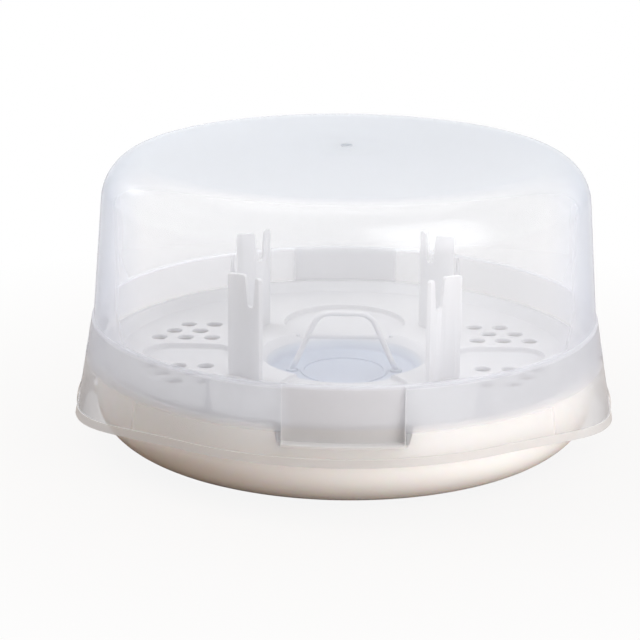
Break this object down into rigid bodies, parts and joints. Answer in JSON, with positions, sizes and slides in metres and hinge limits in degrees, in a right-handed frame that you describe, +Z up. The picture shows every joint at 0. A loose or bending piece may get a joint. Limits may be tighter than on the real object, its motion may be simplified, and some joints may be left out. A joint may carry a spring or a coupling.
{
  "type": "microwave steam steriliser",
  "caption": "Round microwave steam steriliser: white water base, perforated tray with forked posts and a lifting loop, clear dome lid with side clips.",
  "frame": {"origin": "on the ground at the middle of the round foot", "axes": "+Z up, front at -Y, the two side clips at +X and -X"},
  "size_m": [0.282, 0.2782, 0.1528],
  "materials": {
    "base": "opaque white polypropylene, gloss",
    "tray": "natural translucent polypropylene",
    "lid": "clear polypropylene, slightly frosted",
    "clip": "clear polypropylene"
  },
  "bodies": {
    "base": {"base_bowl": "base"},
    "tray": {"steam_tray": "tray", "tray_handle": "tray", "bottle_post_front_left": "tray", "bottle_post_front_right": "tray", "bottle_post_rear_left": "tray", "bottle_post_rear_right": "tray"},
    "lid": {"lid_dome": "lid"},
    "clip_left": {"side_clip_left": "clip"},
    "clip_right": {"side_clip_right": "clip"}
  },
  "joints": [
    {"name": "tray_lift", "type": "slide", "parent": "base", "child": "tray", "axis": [0, 0, 1], "range_m": [0, 0.06]},
    {"name": "lid_lift", "type": "slide", "parent": "tray", "child": "lid", "axis": [0, 0, 1], "range_m": [0, 0.11]},
    {"name": "clip_left_hinge", "type": "hinge", "parent": "lid", "child": "clip_left", "pos_m": [-0.13003, 0, 0.05], "axis": [0, 1, 0], "range_deg": [0, 40]},
    {"name": "clip_right_hinge", "type": "hinge", "parent": "lid", "child": "clip_right", "pos_m": [0.13003, 0, 0.05], "axis": [0, -1, 0], "range_deg": [0, 40]}
  ]
}
